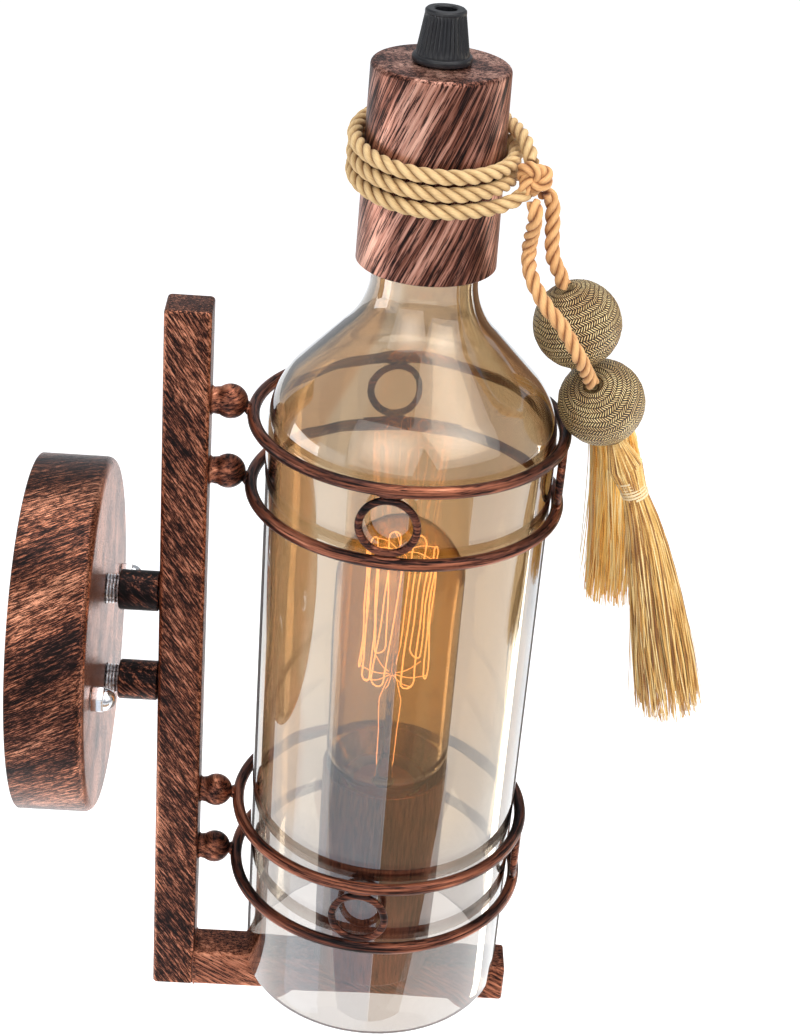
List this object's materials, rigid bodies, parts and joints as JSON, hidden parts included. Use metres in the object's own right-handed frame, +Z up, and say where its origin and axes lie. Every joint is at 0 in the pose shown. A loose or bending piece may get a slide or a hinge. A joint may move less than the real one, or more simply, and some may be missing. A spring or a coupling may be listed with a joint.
{
  "type": "bottle wall lamp",
  "caption": "Wall lamp: a bottomless glass bottle held by wire rings on a square tube bracket, over a bulb in a metal cup, with a rope and tassels round its neck cap.",
  "frame": {"origin": "middle of the wall face: the centre of the wall bracket's back, on the wall's plane", "axes": "+Z up along the bottle, +Y into the wall, so the lamp stands out towards -Y; +X completes the frame"},
  "size_m": [0.12, 0.2272, 0.3655],
  "materials": {
    "copper": "antique copper plate, dark brushed patina",
    "canopy_copper": "polished copper plate with fine brushing",
    "steel": "bright zinc or chrome plate",
    "brass": "bright pressed brass",
    "black_plastic": "matte moulded",
    "ceramic": "glazed insulator",
    "lustre_glass": "clear, with a pale amber lustre",
    "bulb_glass": "clear amber",
    "filament_wire": "fine drawn wire",
    "wire_brown": "insulated wire",
    "wire_blue": "insulated wire",
    "rope": "three-strand twisted rope with a silky sheen",
    "braid": "herringbone braid of gold and black thread",
    "tassel": "golden silky strands"
  },
  "bodies": {
    "frame": {"canopy": "canopy_copper", "wall_bracket": "steel", "stud_left": "steel", "stud_right": "steel", "acorn_nut_left": "steel", "acorn_nut_right": "steel", "nipple_upper": "steel", "nipple_lower": "steel", "nipple_nut_upper": "steel", "nipple_nut_lower": "steel", "sleeve_upper": "copper", "sleeve_lower": "copper", "upright_tube": "copper", "upright_top_plate": "copper", "upright_foot_plate": "copper", "arm_tube": "copper", "arm_end_plate": "copper", "ring_1": "copper", "ring_2": "copper", "ring_3": "copper", "ring_4": "copper", "ball_1": "copper", "ball_2": "copper", "ball_3": "copper", "ball_4": "copper", "circle_upper_1": "copper", "circle_upper_2": "copper", "circle_upper_3": "copper", "circle_lower_1": "copper", "circle_lower_2": "copper", "circle_lower_3": "copper", "terminal_block": "ceramic", "wire_live": "wire_brown", "wire_neutral": "wire_blue", "lamp_cup": "copper", "cup_nipple": "steel", "arm_nut": "steel", "lampholder_body": "black_plastic", "lampholder_insert": "ceramic", "screw_shell": "brass", "centre_contact": "brass"},
    "bulb": {"bulb_screw_cap": "brass", "bulb_glass": "bulb_glass", "bulb_stem": "bulb_glass", "filament": "filament_wire"},
    "bottle": {"bottle": "lustre_glass"},
    "cap": {"top_cap": "copper", "cord_grip": "black_plastic", "cord_grip_nut": "steel", "rope_winding": "rope", "knot": "rope"},
    "pendants": {"strand_short": "rope", "strand_long": "rope", "bead_upper": "braid", "bead_lower": "braid", "tassel_upper": "tassel", "tassel_lower": "tassel"}
  },
  "joints": [
    {"name": "bottle_lift", "type": "slide", "parent": "frame", "child": "bottle", "axis": [0, 0, 1], "range_m": [0, 0.225]},
    {"name": "cap_lift", "type": "slide", "parent": "bottle", "child": "cap", "axis": [0, 0, 1], "range_m": [0, 0.065]},
    {"name": "pendant_swing", "type": "hinge", "parent": "cap", "child": "pendants", "pos_m": [-0.0118, -0.1518, 0.1737], "axis": [-1, 0, 0], "range_deg": [0, 35]},
    {"name": "bulb_turn", "type": "hinge", "parent": "frame", "child": "bulb", "pos_m": [0, -0.1226, -0.07], "axis": [0, 0, 1], "range_deg": [0, 1080]}
  ]
}
